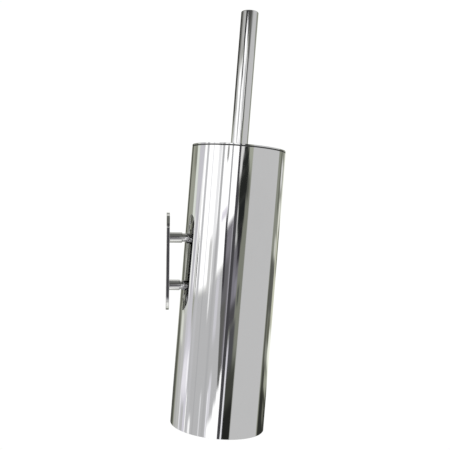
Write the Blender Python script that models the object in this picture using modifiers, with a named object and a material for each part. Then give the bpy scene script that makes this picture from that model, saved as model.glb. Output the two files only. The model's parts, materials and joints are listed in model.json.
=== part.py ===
"""Wall-hung toilet brush holder: a tilted round tube on a wall plate, a liner and a lidded brush.

Frame: origin at the centre of the wall plate's back face, +X out from the wall, +Z up.
All lengths are in metres. Heights named S_... are distances along the tube's tilted axis,
counted from the point where that axis crosses Z = 0.
"""
import math

import bmesh
import bpy

# --- driving dimensions -------------------------------------------------------------------
GAP = 0.0003                    # air between pieces that rest on or pass through each other
RUN_GAP = 0.0002                # finer air at the lid, where the joint is seen from outside

PLATE_HALF_HEIGHT = 0.0461      # upright plate with fully rounded ends
PLATE_HALF_WIDTH = 0.0145
PLATE_THICKNESS = 0.003
PLATE_EDGE = 0.00025
WALL_HOLE_Z = 0.0345            # two holes for the wall screws, beyond the posts
WALL_COUNTERSINK_RADIUS = 0.0046
HOLE_RADIUS = 0.0028            # clearance hole for an M5 screw
COUNTERSINK_RADIUS = 0.0055
COUNTERSINK_DEPTH = 0.0027

POST_Z = 0.0225                 # posts sit this far above and below the plate's centre
POST_RADIUS = 0.00495
POST_EDGE = 0.0003
POST_END_X = {"upper": 0.0149, "lower": 0.0131}
SPACER_RADIUS = 0.00405

TILT = math.radians(3.9)        # the tube leans away from the wall at its top
TUBE_AXIS_X = 0.0606            # where the tube's axis crosses Z = 0
TUBE_RADIUS = 0.04445
TUBE_WALL = 0.0012
TUBE_EDGE = 0.0002
S_TUBE_TOP = 0.1058
S_TUBE_BOTTOM = -0.1561

BASE_RECESS = 0.0015            # the base pan sits this far up inside the tube
BASE_THICKNESS = 0.0012
BASE_FLANGE = 0.0035

SCREW_RADIUS = 0.0025
SCREW_TIP_EDGE = 0.0005
SOCKET_RADIUS = 0.0018          # hexagon socket, corner radius
SOCKET_DEPTH = 0.0015
CSK_HEAD_RADIUS = 0.005
CSK_HEAD_HEIGHT = 0.0025
CSK_SINK = 0.0002               # the rear screw heads sit this far under the plate's back
CSK_LENGTH = 0.0078
BUTTON_HEAD_RADIUS = 0.00475
BUTTON_HEAD_HEIGHT = 0.0025
BUTTON_LENGTH = {"upper": 0.0118, "lower": 0.0098}
WASHER_RADIUS = 0.006
WASHER_REACH = 0.0019           # flat face of the saddle washer, past the tube's inner wall

FLANGE_THICKNESS = 0.0006
FLANGE_RADIUS = 0.0442
LINER_RADIUS_TOP = 0.0365
LINER_RADIUS_BOTTOM = 0.0353
LINER_WALL = 0.0014
S_LINER_BOTTOM = -0.1500

LID_THICKNESS = 0.0012
LID_EDGE = 0.0002
SPIGOT_CLEARANCE = 0.0005
SPIGOT_DEPTH = 0.006
SPIGOT_WALL = 0.002
SPIGOT_WEB = 0.0015
COLLAR_RADIUS = 0.013
COLLAR_NECK_RADIUS = 0.0105
COLLAR_HEIGHT = 0.010
GRUB_RADIUS = 0.002
GRUB_LENGTH = 0.004

HANDLE_RADIUS = 0.0082
HANDLE_WALL = 0.0012
HANDLE_EDGE = 0.0009
S_HANDLE_TOP = 0.2377
S_HANDLE_BOTTOM = -0.0620
CAP_THICKNESS = 0.003

PLUG_LENGTH = 0.015
ADAPTER_FLANGE = 0.003
STUD_RADIUS = 0.004
STUD_LENGTH = 0.014

CORE_RADIUS_TOP = 0.0105
CORE_RADIUS_BOTTOM = 0.009
CORE_LENGTH = 0.064
CORE_DOME = 0.006
BRISTLE_RADIUS = 0.031
BRISTLE_TOP_RADIUS = 0.020
BRISTLE_BOTTOM_RADIUS = 0.026
BRISTLE_SHOULDER = 0.012
BRISTLE_HEIGHT = 0.056
TIP_RADIUS_TOP = 0.0085
TIP_RADIUS_BOTTOM = 0.017
TIP_LENGTH = 0.012

STEPS_LARGE = 72                # facets round the tube, liner, lid and plate
STEPS_MEDIUM = 40               # facets round the handle and the brush
STEPS_SMALL = 24                # facets round screws, posts and washers
SHARP_ANGLE = math.radians(35.0)

QUARTER_TURN = math.radians(90.0)

# colour, roughness, metallic
FINISHES = {
    "polished_steel": ((0.86, 0.86, 0.87, 1.0), 0.06, 1.0),
    "plain_steel": ((0.62, 0.62, 0.63, 1.0), 0.32, 1.0),
    "black_plastic": ((0.02, 0.02, 0.02, 1.0), 0.45, 0.0),
    "grey_plastic": ((0.09, 0.09, 0.095, 1.0), 0.5, 0.0),
    "white_nylon": ((0.88, 0.88, 0.86, 1.0), 0.55, 0.0),
}


# --- scene, materials and shared shapes ---------------------------------------------------
def clear_scene():
    """Remove every object that the opened file holds."""
    for item in list(bpy.data.objects):
        bpy.data.objects.remove(item, do_unlink=True)


def new_collection(name):
    """Make a collection and link it to the scene."""
    group = bpy.data.collections.new(name)
    bpy.context.scene.collection.children.link(group)
    return group


def make_material(name):
    """Make a Principled material from the finish table."""
    colour, roughness, metallic = FINISHES[name]
    material = bpy.data.materials.new(name)
    material.use_nodes = True
    shader = material.node_tree.nodes["Principled BSDF"]
    shader.inputs["Base Color"].default_value = colour
    shader.inputs["Roughness"].default_value = roughness
    shader.inputs["Metallic"].default_value = metallic
    material.diffuse_color = colour
    return material


def make_empty(name, location, rotation=(0.0, 0.0, 0.0)):
    """Make an empty that carries a group of pieces."""
    empty = bpy.data.objects.new(name, None)
    empty.location = location
    empty.rotation_euler = rotation
    PARTS.objects.link(empty)
    return empty


def spin(name, profile, steps, closed):
    """Turn a profile of (radius, height) points round the object's own Z axis."""
    mesh = bpy.data.meshes.new(name)
    shape = bmesh.new()
    points = [shape.verts.new((radius, 0.0, height)) for radius, height in profile]
    for first, second in zip(points, points[1:]):
        shape.edges.new((first, second))
    if closed:
        shape.edges.new((points[-1], points[0]))
    shape.to_mesh(mesh)
    shape.free()
    piece = bpy.data.objects.new(name, mesh)
    screw = piece.modifiers.new("Turn", "SCREW")
    screw.axis = "Z"
    screw.angle = math.radians(360.0)
    screw.steps = steps
    screw.render_steps = steps
    screw.use_merge_vertices = True
    screw.merge_threshold = 0.00001
    return piece


def add_part(piece, finish, parent=None, location=(0.0, 0.0, 0.0), rotation=(0.0, 0.0, 0.0)):
    """Place a piece in the model's collection with its material."""
    PARTS.objects.link(piece)
    piece.data.materials.append(MATERIALS[finish])
    piece.parent = parent
    piece.location = location
    piece.rotation_euler = rotation
    return piece


def add_cutter(piece, parent=None, location=(0.0, 0.0, 0.0), rotation=(0.0, 0.0, 0.0)):
    """Place a cutter, which is drawn as wire and left out of the model."""
    CUTTERS.objects.link(piece)
    piece.hide_render = True
    piece.display_type = "WIRE"
    piece.parent = parent
    piece.location = location
    piece.rotation_euler = rotation
    return piece


def rod(radius, top, bottom, edge=0.0):
    """Profile of a solid cylinder, open at the axis, with a chamfer at both ends."""
    if edge == 0.0:
        return [(0.0, top), (radius, top), (radius, bottom), (0.0, bottom)]
    return [
        (0.0, top),
        (radius - edge, top),
        (radius, top - edge),
        (radius, bottom + edge),
        (radius - edge, bottom),
        (0.0, bottom),
    ]


def ring(outer, inner, top, bottom, edge=0.0):
    """Closed profile of a ring or tube, with a chamfer on its two outer corners."""
    if edge == 0.0:
        return [(outer, top), (outer, bottom), (inner, bottom), (inner, top)]
    return [
        (outer - edge, top),
        (outer, top - edge),
        (outer, bottom + edge),
        (outer - edge, bottom),
        (inner, bottom),
        (inner, top),
    ]


def arc(centre, radii, start, end, count):
    """Points on an ellipse in the profile's plane, from one angle to another in degrees."""
    points = []
    for index in range(count + 1):
        angle = math.radians(start + (end - start) * index / count)
        radius = centre[0] + radii[0] * math.cos(angle)
        height = centre[1] + radii[1] * math.sin(angle)
        points.append((max(radius, 0.0), height))
    return points


def boolean(piece, cutter, operation="DIFFERENCE"):
    """Cut a piece with a cutter, or keep only what lies inside it."""
    modifier = piece.modifiers.new(cutter.name, "BOOLEAN")
    modifier.operation = operation
    modifier.solver = "EXACT"
    modifier.object = cutter


def drill(name, radius, start, end, location, parent=None, rotation=(0.0, QUARTER_TURN, 0.0)):
    """Make a round cutter along an axis, from start to end; the axis is X unless turned."""
    cutter = spin(name, rod(radius, end, start), STEPS_SMALL, False)
    return add_cutter(cutter, parent, location, rotation)


def hexagon_socket(name, mouth, location, parent=None, rotation=(0.0, QUARTER_TURN, 0.0)):
    """Make a six-sided cutter whose mouth is at the given height along the axis."""
    mesh = bpy.data.meshes.new(name)
    shape = bmesh.new()
    length = 2.0 * SOCKET_DEPTH
    bmesh.ops.create_cone(
        shape, cap_ends=True, segments=6, radius1=SOCKET_RADIUS, radius2=SOCKET_RADIUS, depth=length
    )
    bmesh.ops.translate(shape, verts=shape.verts, vec=(0.0, 0.0, mouth))
    shape.to_mesh(mesh)
    shape.free()
    return add_cutter(bpy.data.objects.new(name, mesh), parent, location, rotation)


def shade_round(piece):
    """Apply the modifiers and shade smooth, with sharp edges at the corners."""
    graph = bpy.context.evaluated_depsgraph_get()
    mesh = bpy.data.meshes.new_from_object(piece.evaluated_get(graph))
    piece.modifiers.clear()
    piece.data = mesh
    mesh.shade_smooth()
    mesh.set_sharp_from_angle(angle=SHARP_ANGLE)


def wall_side_x(height, radius):
    """X of the wall side of a cylinder round the tube's axis, at a world height."""
    return TUBE_AXIS_X + height * math.tan(TILT) - radius / math.cos(TILT)


# --- wall side ----------------------------------------------------------------------------
def build_wall_plate():
    """Upright plate with two wall-screw holes and two holes for the posts' rear screws."""
    plate = add_part(plate_blank("wall_plate"), "polished_steel", rotation=(0.0, QUARTER_TURN, 0.0))
    for side, z in (("upper", WALL_HOLE_Z), ("lower", -WALL_HOLE_Z)):
        front_cone = countersink("cut_wall_hole_" + side, PLATE_THICKNESS, -1.0, WALL_COUNTERSINK_RADIUS)
        add_cutter(front_cone, location=(0.0, 0.0, z), rotation=(0.0, QUARTER_TURN, 0.0))
        boolean(plate, front_cone)
    for side, z in (("upper", POST_Z), ("lower", -POST_Z)):
        rear_cone = countersink("cut_post_hole_" + side, 0.0, 1.0, COUNTERSINK_RADIUS)
        add_cutter(rear_cone, location=(0.0, 0.0, z), rotation=(0.0, QUARTER_TURN, 0.0))
        boolean(plate, rear_cone)


def plate_blank(name):
    """Solid plate with fully rounded ends, long along its own X, with chamfered rims."""
    layers = (
        (PLATE_EDGE, 0.0),
        (0.0, PLATE_EDGE),
        (0.0, PLATE_THICKNESS - PLATE_EDGE),
        (PLATE_EDGE, PLATE_THICKNESS),
    )
    shape = bmesh.new()
    rings = [[shape.verts.new(point) for point in plate_outline(*layer)] for layer in layers]
    shape.faces.new(list(reversed(rings[0])))
    shape.faces.new(rings[-1])
    count = len(rings[0])
    for lower, upper in zip(rings, rings[1:]):
        for index in range(count):
            around = (index + 1) % count
            shape.faces.new((lower[index], lower[around], upper[around], upper[index]))
    mesh = bpy.data.meshes.new(name)
    shape.to_mesh(mesh)
    shape.free()
    return bpy.data.objects.new(name, mesh)


def plate_outline(inset, height):
    """Points round the plate, a little inside its full outline, at one height."""
    radius = PLATE_HALF_WIDTH - inset
    straight = PLATE_HALF_HEIGHT - PLATE_HALF_WIDTH
    half_steps = STEPS_LARGE // 2
    points = []
    for end, start in ((straight, -90.0), (-straight, 90.0)):
        for step in range(half_steps + 1):
            angle = math.radians(start + 180.0 * step / half_steps)
            points.append((end + radius * math.cos(angle), radius * math.sin(angle), height))
    return points


def countersink(name, face, inward, wide_radius):
    """Cutter of a countersunk hole whose cone opens at a face of the plate.

    inward is +1 where the material lies above the face and -1 where it lies below.
    """
    slope = (wide_radius - HOLE_RADIUS) / COUNTERSINK_DEPTH
    over = PLATE_THICKNESS
    wide = (wide_radius + slope * over, face - inward * over)
    throat = (HOLE_RADIUS, face + inward * COUNTERSINK_DEPTH)
    far = (HOLE_RADIUS, face + inward * (PLATE_THICKNESS + over))
    profile = [(0.0, wide[1]), wide, throat, far, (0.0, far[1])]
    if inward > 0.0:
        profile.reverse()
    return spin(name, profile, STEPS_SMALL, False)


def build_plate_screw(side, z):
    """Countersunk screw from behind the plate into the post."""
    neck = CSK_SINK + CSK_HEAD_HEIGHT
    tip = CSK_SINK + CSK_LENGTH
    profile = [
        (0.0, tip),
        (SCREW_RADIUS - SCREW_TIP_EDGE, tip),
        (SCREW_RADIUS, tip - SCREW_TIP_EDGE),
        (SCREW_RADIUS, neck),
        (CSK_HEAD_RADIUS, CSK_SINK),
        (0.0, CSK_SINK),
    ]
    place = (0.0, 0.0, z)
    turn = (0.0, QUARTER_TURN, 0.0)
    screw = spin("plate_screw_" + side, profile, STEPS_SMALL, False)
    add_part(screw, "plain_steel", location=place, rotation=turn)
    boolean(screw, hexagon_socket("cut_plate_socket_" + side, CSK_SINK, place))


def build_post(side, z):
    """Post that carries the tube, bored through for the screws at both ends."""
    start = PLATE_THICKNESS + GAP
    post = spin("post_" + side, rod(POST_RADIUS, POST_END_X[side], start, POST_EDGE), STEPS_SMALL, False)
    add_part(post, "polished_steel", location=(0.0, 0.0, z), rotation=(0.0, QUARTER_TURN, 0.0))
    boolean(post, drill("cut_post_bore_" + side, HOLE_RADIUS, 0.0, 2.0 * POST_END_X[side], (0.0, 0.0, z)))


def build_post_spacer(side, z):
    """Short spacer between the post and the tube, hollowed to the tube's round wall."""
    start = POST_END_X[side] + GAP
    reach = wall_side_x(z, TUBE_RADIUS) + POST_RADIUS
    spacer = spin("post_spacer_" + side, rod(SPACER_RADIUS, reach, start), STEPS_SMALL, False)
    add_part(spacer, "polished_steel", location=(0.0, 0.0, z), rotation=(0.0, QUARTER_TURN, 0.0))
    boolean(spacer, TOOLS["tube_outside"])
    boolean(spacer, drill("cut_spacer_bore_" + side, HOLE_RADIUS, 0.0, 2.0 * reach, (0.0, 0.0, z)))


def build_tube_washer(side, z):
    """Saddle washer inside the tube: round on the wall's side, flat under the screw head."""
    inner_x = wall_side_x(z, TUBE_RADIUS - TUBE_WALL)
    flat = inner_x + WASHER_REACH
    washer = spin("tube_washer_" + side, rod(WASHER_RADIUS, flat, inner_x - TUBE_WALL), STEPS_SMALL, False)
    add_part(washer, "plain_steel", location=(0.0, 0.0, z), rotation=(0.0, QUARTER_TURN, 0.0))
    boolean(washer, TOOLS["tube_inside"], "INTERSECT")
    boolean(washer, drill("cut_washer_bore_" + side, HOLE_RADIUS, 0.0, 2.0 * flat, (0.0, 0.0, z)))


def build_tube_screw(side, z):
    """Button-head screw from inside the tube through washer, wall and spacer into the post."""
    seat = wall_side_x(z, TUBE_RADIUS - TUBE_WALL) + WASHER_REACH + GAP
    tip = seat - BUTTON_LENGTH[side]
    dome = arc((0.0, seat), (BUTTON_HEAD_RADIUS, BUTTON_HEAD_HEIGHT), 65.0, 0.0, 5)
    crown = dome[0][1]
    profile = [(0.0, crown)] + dome + [
        (SCREW_RADIUS, seat),
        (SCREW_RADIUS, tip + SCREW_TIP_EDGE),
        (SCREW_RADIUS - SCREW_TIP_EDGE, tip),
        (0.0, tip),
    ]
    place = (0.0, 0.0, z)
    screw = spin("tube_screw_" + side, profile, STEPS_SMALL, False)
    add_part(screw, "plain_steel", location=place, rotation=(0.0, QUARTER_TURN, 0.0))
    boolean(screw, hexagon_socket("cut_tube_socket_" + side, crown, place))


# --- tube ---------------------------------------------------------------------------------
def build_tools():
    """Two long gauges: one a little outside the tube, one a little inside its bore."""
    top = S_TUBE_TOP + TUBE_RADIUS
    bottom = S_TUBE_BOTTOM - TUBE_RADIUS
    gauges = {
        "tube_outside": TUBE_RADIUS + GAP,
        "tube_inside": TUBE_RADIUS - TUBE_WALL - GAP,
    }
    for name, radius in gauges.items():
        gauge = spin("cut_" + name, rod(radius, top, bottom), 2 * STEPS_LARGE, False)
        TOOLS[name] = add_cutter(gauge, AXES["holder"])


def build_outer_tube():
    """Open tube with two screw holes on its wall side."""
    inner = TUBE_RADIUS - TUBE_WALL
    profile = ring(TUBE_RADIUS, inner, S_TUBE_TOP, S_TUBE_BOTTOM, TUBE_EDGE)
    tube = add_part(spin("outer_tube", profile, STEPS_LARGE, True), "polished_steel", AXES["holder"])
    for side, z in (("upper", POST_Z), ("lower", -POST_Z)):
        end = wall_side_x(z, 0.0)
        boolean(tube, drill("cut_tube_hole_" + side, HOLE_RADIUS, 0.0, end, (0.0, 0.0, z)))


def build_tube_base():
    """Pressed pan that closes the tube's lower end, with its flange turned up."""
    outer = TUBE_RADIUS - TUBE_WALL - GAP
    inner = outer - BASE_THICKNESS
    under = S_TUBE_BOTTOM + BASE_RECESS
    floor = under + BASE_THICKNESS
    top = under + BASE_FLANGE
    profile = [
        (0.0, floor),
        (inner - BASE_THICKNESS, floor),
        (inner, floor + BASE_THICKNESS),
        (inner, top),
        (outer, top),
        (outer, under + BASE_THICKNESS),
        (outer - BASE_THICKNESS, under),
        (0.0, under),
    ]
    add_part(spin("tube_base", profile, STEPS_LARGE, False), "plain_steel", AXES["holder"])


# --- liner --------------------------------------------------------------------------------
def build_liner():
    """Drip liner that hangs on the tube's rim by a thin flange and lifts out for cleaning."""
    under = S_TUBE_TOP + RUN_GAP
    top = under + FLANGE_THICKNESS
    inner_top = LINER_RADIUS_TOP - LINER_WALL
    inner_bottom = LINER_RADIUS_BOTTOM - LINER_WALL
    floor = S_LINER_BOTTOM + LINER_WALL
    corner = 2.0 * LINER_WALL
    profile = [
        (0.0, floor),
        (inner_bottom - corner, floor),
        (inner_bottom, floor + corner),
        (inner_top, top),
        (FLANGE_RADIUS, top),
        (FLANGE_RADIUS, under),
        (LINER_RADIUS_TOP, under),
        (LINER_RADIUS_BOTTOM, S_LINER_BOTTOM + corner),
        (LINER_RADIUS_BOTTOM - corner, S_LINER_BOTTOM),
        (0.0, S_LINER_BOTTOM),
    ]
    add_part(spin("liner_cup", profile, STEPS_LARGE, False), "grey_plastic", AXES["liner"])


# --- lid ----------------------------------------------------------------------------------
def build_lid():
    """Flat lid, the spigot ring that centres it in the liner, and the collar that holds it."""
    bore = HANDLE_RADIUS + GAP
    under = S_TUBE_TOP + 2.0 * RUN_GAP + FLANGE_THICKNESS
    profile = ring(TUBE_RADIUS, bore, under + LID_THICKNESS, under, LID_EDGE)
    add_part(spin("lid_plate", profile, STEPS_LARGE, True), "polished_steel", AXES["brush"])

    spigot_outer = LINER_RADIUS_TOP - LINER_WALL - SPIGOT_CLEARANCE
    spigot_inner = spigot_outer - SPIGOT_WALL
    spigot_bore = COLLAR_NECK_RADIUS + GAP
    spigot_top = under - GAP
    web = spigot_top - SPIGOT_WEB
    foot = spigot_top - SPIGOT_DEPTH
    profile = [
        (spigot_outer, spigot_top),
        (spigot_outer, foot),
        (spigot_inner, foot),
        (spigot_inner, web),
        (spigot_bore, web),
        (spigot_bore, spigot_top),
    ]
    add_part(spin("lid_spigot", profile, STEPS_LARGE, True), "black_plastic", AXES["brush"])

    shoulder = web - GAP
    collar_foot = shoulder - COLLAR_HEIGHT
    profile = [
        (COLLAR_NECK_RADIUS, spigot_top),
        (COLLAR_NECK_RADIUS, shoulder),
        (COLLAR_RADIUS, shoulder),
        (COLLAR_RADIUS, collar_foot),
        (bore, collar_foot),
        (bore, spigot_top),
    ]
    collar = spin("lid_collar", profile, STEPS_MEDIUM, True)
    add_part(collar, "plain_steel", AXES["brush"])
    middle = (0.0, 0.0, shoulder - COLLAR_HEIGHT / 2.0)
    hole = drill("cut_grub_hole", GRUB_RADIUS + GAP, 0.0, 2.0 * COLLAR_RADIUS, middle, AXES["brush"])
    boolean(collar, hole)

    start = bore
    grub = spin("collar_grub_screw", rod(GRUB_RADIUS, start + GRUB_LENGTH, start), STEPS_SMALL, False)
    add_part(grub, "plain_steel", AXES["brush"], middle, (0.0, QUARTER_TURN, 0.0))
    socket = hexagon_socket("cut_grub_socket", start + GRUB_LENGTH, middle, AXES["brush"])
    socket.scale = (0.6, 0.6, 1.0)
    boolean(grub, socket)


# --- brush --------------------------------------------------------------------------------
def build_handle():
    """Handle tube from above the lid down to the brush head, its end cap and lower plug."""
    inner = HANDLE_RADIUS - HANDLE_WALL
    profile = [
        (HANDLE_RADIUS - HANDLE_EDGE, S_HANDLE_TOP),
        (HANDLE_RADIUS, S_HANDLE_TOP - HANDLE_EDGE),
        (HANDLE_RADIUS, S_HANDLE_BOTTOM),
        (inner, S_HANDLE_BOTTOM),
        (inner, S_HANDLE_TOP),
    ]
    add_part(spin("handle_tube", profile, STEPS_MEDIUM, True), "polished_steel", AXES["brush"])

    cap_top = S_HANDLE_TOP - RUN_GAP
    profile = rod(inner - GAP, cap_top, cap_top - CAP_THICKNESS, RUN_GAP)
    add_part(spin("handle_cap", profile, STEPS_MEDIUM, False), "polished_steel", AXES["brush"])

    flange_top = S_HANDLE_BOTTOM - GAP
    flange_foot = flange_top - ADAPTER_FLANGE
    stud_foot = flange_foot - STUD_LENGTH
    profile = [
        (0.0, flange_top + PLUG_LENGTH),
        (inner - GAP, flange_top + PLUG_LENGTH),
        (inner - GAP, flange_top),
        (HANDLE_RADIUS, flange_top),
        (HANDLE_RADIUS, flange_foot),
        (STUD_RADIUS, flange_foot),
        (STUD_RADIUS, stud_foot),
        (0.0, stud_foot),
    ]
    add_part(spin("head_adapter", profile, STEPS_MEDIUM, False), "black_plastic", AXES["brush"])
    return flange_foot


def build_head(adapter_foot):
    """Brush head: a core that screws on the adapter's stud, side bristles and tip bristles."""
    top = adapter_foot - GAP
    foot = top - CORE_LENGTH
    socket = top - STUD_LENGTH - GAP
    dome = arc((0.0, foot + CORE_DOME), (CORE_RADIUS_BOTTOM, CORE_DOME), 0.0, -90.0, 5)
    profile = [
        (0.0, socket),
        (STUD_RADIUS + GAP, socket),
        (STUD_RADIUS + GAP, top),
        (CORE_RADIUS_TOP, top),
    ] + dome
    add_part(spin("brush_core", profile, STEPS_MEDIUM, False), "black_plastic", AXES["brush"])

    head_foot = foot + CORE_DOME
    head_top = head_foot + BRISTLE_HEIGHT
    profile = [
        (BRISTLE_TOP_RADIUS, head_top),
        (BRISTLE_RADIUS, head_top - BRISTLE_SHOULDER),
        (BRISTLE_RADIUS, head_foot + BRISTLE_SHOULDER),
        (BRISTLE_BOTTOM_RADIUS, head_foot),
        (CORE_RADIUS_BOTTOM + GAP, head_foot),
        (CORE_RADIUS_TOP + GAP, head_top),
    ]
    add_part(spin("side_bristles", profile, STEPS_MEDIUM, True), "white_nylon", AXES["brush"])

    tip_top = foot - GAP
    profile = [
        (0.0, tip_top),
        (TIP_RADIUS_TOP, tip_top),
        (TIP_RADIUS_BOTTOM, tip_top - TIP_LENGTH / 2.0),
        (TIP_RADIUS_BOTTOM, tip_top - TIP_LENGTH),
        (0.0, tip_top - TIP_LENGTH),
    ]
    add_part(spin("tip_bristles", profile, STEPS_MEDIUM, False), "white_nylon", AXES["brush"])


# --- assembly -----------------------------------------------------------------------------
clear_scene()
PARTS = new_collection("toilet_brush_holder")
CUTTERS = new_collection("cutters")
MATERIALS = {name: make_material(name) for name in FINISHES}
AXIS_POINT = (TUBE_AXIS_X, 0.0, 0.0)
AXES = {
    body: make_empty(body + "_axis", AXIS_POINT, (0.0, TILT, 0.0))
    for body in ("holder", "liner", "brush")
}
TOOLS = {}

build_tools()
build_wall_plate()
for post_side, post_z in (("upper", POST_Z), ("lower", -POST_Z)):
    build_plate_screw(post_side, post_z)
    build_post(post_side, post_z)
    build_post_spacer(post_side, post_z)
    build_tube_washer(post_side, post_z)
    build_tube_screw(post_side, post_z)
build_outer_tube()
build_tube_base()
build_liner()
build_lid()
build_head(build_handle())

bpy.context.view_layer.update()
for part in list(PARTS.objects):
    if part.type == "MESH":
        shade_round(part)
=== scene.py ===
"""Studio scene of the wall-hung toilet brush holder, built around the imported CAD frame.

Lengths are in metres and angles in degrees unless a name says otherwise. "Along" is the
distance along the tube's tilted axis, counted from the middle of the tube.
"""
import itertools
import json
import math
import random

import bmesh
import bpy
from mathutils import Matrix, Vector


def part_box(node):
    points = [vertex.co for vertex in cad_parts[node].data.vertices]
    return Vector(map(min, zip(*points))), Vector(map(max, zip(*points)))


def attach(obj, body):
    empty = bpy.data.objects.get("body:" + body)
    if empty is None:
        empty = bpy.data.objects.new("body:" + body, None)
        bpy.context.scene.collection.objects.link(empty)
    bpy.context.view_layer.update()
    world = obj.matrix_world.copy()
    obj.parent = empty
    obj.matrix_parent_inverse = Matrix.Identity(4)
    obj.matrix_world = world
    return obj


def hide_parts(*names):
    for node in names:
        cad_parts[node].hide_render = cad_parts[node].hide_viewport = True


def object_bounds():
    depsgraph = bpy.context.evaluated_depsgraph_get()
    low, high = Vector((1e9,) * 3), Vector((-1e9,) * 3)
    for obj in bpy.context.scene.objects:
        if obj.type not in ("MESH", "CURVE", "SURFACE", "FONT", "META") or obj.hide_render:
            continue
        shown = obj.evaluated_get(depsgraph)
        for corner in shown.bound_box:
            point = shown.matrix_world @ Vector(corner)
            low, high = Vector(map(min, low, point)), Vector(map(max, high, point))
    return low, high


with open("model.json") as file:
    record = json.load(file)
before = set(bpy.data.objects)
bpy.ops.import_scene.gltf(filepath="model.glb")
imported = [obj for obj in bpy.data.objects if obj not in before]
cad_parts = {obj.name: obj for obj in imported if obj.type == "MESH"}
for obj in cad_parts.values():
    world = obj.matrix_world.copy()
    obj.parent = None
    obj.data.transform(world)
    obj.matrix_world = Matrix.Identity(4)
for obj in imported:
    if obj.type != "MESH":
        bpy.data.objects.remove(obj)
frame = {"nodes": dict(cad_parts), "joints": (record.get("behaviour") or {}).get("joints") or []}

CAD_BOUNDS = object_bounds()

# --- camera ---
CAMERA_PLACE = (-0.00484, -0.64780, 0.04396)
CAMERA_YAW = 2.809  # towards +X
CAMERA_PITCH = -0.836
CAMERA_ROLL = 0.690
CAMERA_LENS = 54.63  # mm on a 36 mm sensor
CAMERA_SENSOR = 36.0
CAMERA_SHIFT_X = 0.0667

# --- stage ---
FLOOR_HEIGHT = -0.55
FLOOR_RADIUS = 0.48
FLOOR_RINGS = 24
FLOOR_FADE = (0.35, 0.98)  # shares of the radius where the fade starts and ends
LAMP_PLACE = (-0.35, -0.75, 1.15)
LAMP_TARGET = (0.06, 0.0, 0.0)
LAMP_SIZE = 1.2
LAMP_POWER = 17.0  # watts
WHITE_LEVEL = 1.02  # background, just past display white

# --- shared shape settings ---
STEPS_TUBE = 256  # sides of the large round pieces
STEPS_ROUND = 128
STEPS_SMALL = 72
FILLET_STEPS = 6
HOLD = 0.00012  # a flat face starts this far past its rounded corner
SHARP_ANGLE = math.radians(32.0)
FINE_EDGE = 0.00018  # rounding of a deburred edge
CLEARANCE = 0.0003  # air that the CAD leaves between touching pieces

STEEL_REFLECTANCE = 0.66  # share of light that one bounce keeps


# --- reading the frame ---
def find_axis():
    """Middle of the tube and the direction of its axis."""
    low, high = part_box("outer_tube")
    direction = Vector(frame["joints"][0]["axis"]).normalized()
    return (low + high) / 2.0, direction


TUBE_MIDDLE, TUBE_DIRECTION = find_axis()
TUBE_TILT = math.atan2(TUBE_DIRECTION.x, TUBE_DIRECTION.z)
TUBE_FRAME = Matrix.Translation(TUBE_MIDDLE) @ Matrix.Rotation(TUBE_TILT, 4, "Y")
QUARTER_TURN = Matrix.Rotation(math.pi / 2.0, 4, "Y")


def around_axis(node):
    """Distances of a node's vertices along the tube's axis, and away from it."""
    points = [vertex.co - TUBE_MIDDLE for vertex in frame["nodes"][node].data.vertices]
    along = [point.dot(TUBE_DIRECTION) for point in points]
    away = [(point - TUBE_DIRECTION * reach).length for point, reach in zip(points, along)]
    return along, away


def measure(node):
    """Lowest and highest distance along the tube's axis, and the widest radius, of a node."""
    along, away = around_axis(node)
    return min(along), max(along), max(away)


def inner_radius(node):
    """Narrowest radius of a node about the tube's axis."""
    return min(around_axis(node)[1])


def cross_measure(node):
    """Near and far X of a piece turned round a line along +X, and its radius."""
    low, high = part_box(node)
    return low.x, high.x, (high.y - low.y) / 2.0


def cross_frame(node):
    """Frame of a piece turned round a line along +X: its Z runs out from the wall."""
    low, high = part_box(node)
    middle = (low + high) / 2.0
    return Matrix.Translation((0.0, middle.y, middle.z)) @ QUARTER_TURN


# --- mesh helpers ---
UP = Vector((0.0, 0.0, 1.0))


def fillet(before, corner, after, radius):
    """Points that round one corner of a profile, with a holding point on each side."""
    corner = Vector(corner)
    to_before = Vector(before) - corner
    to_after = Vector(after) - corner
    angle = to_before.angle(to_after)
    setback = radius / math.tan(angle / 2.0)
    start = corner + to_before.normalized() * setback
    end = corner + to_after.normalized() * setback
    bisector = (to_before.normalized() + to_after.normalized()).normalized()
    centre = corner + bisector * (radius / math.sin(angle / 2.0))
    hold = min(HOLD, radius)
    points = []
    if to_before.length > setback + 2.0 * hold:
        points.append(start + to_before.normalized() * hold)
    first = start - centre
    turn = first.angle_signed(end - centre)
    for step in range(FILLET_STEPS + 1):
        swing = Matrix.Rotation(-turn * step / FILLET_STEPS, 2)
        points.append(centre + swing @ first)
    if to_after.length > setback + 2.0 * hold:
        points.append(end + to_after.normalized() * hold)
    return [tuple(point) for point in points]


def smooth_profile(corners, closed):
    """Turn (radius, height, fillet radius) corners into plain profile points."""
    points = []
    count = len(corners)
    for index, (radius, height, rounding) in enumerate(corners):
        at_end = index in (0, count - 1) and not closed
        if rounding == 0.0 or at_end:
            points.append((radius, height))
            continue
        before = corners[index - 1][:2]
        after = corners[(index + 1) % count][:2]
        points += fillet(before, (radius, height), after, rounding)
    return points


def save_mesh(shape, name):
    """Turn a finished bmesh into a mesh."""
    mesh = bpy.data.meshes.new(name)
    shape.to_mesh(mesh)
    shape.free()
    return mesh


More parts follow.
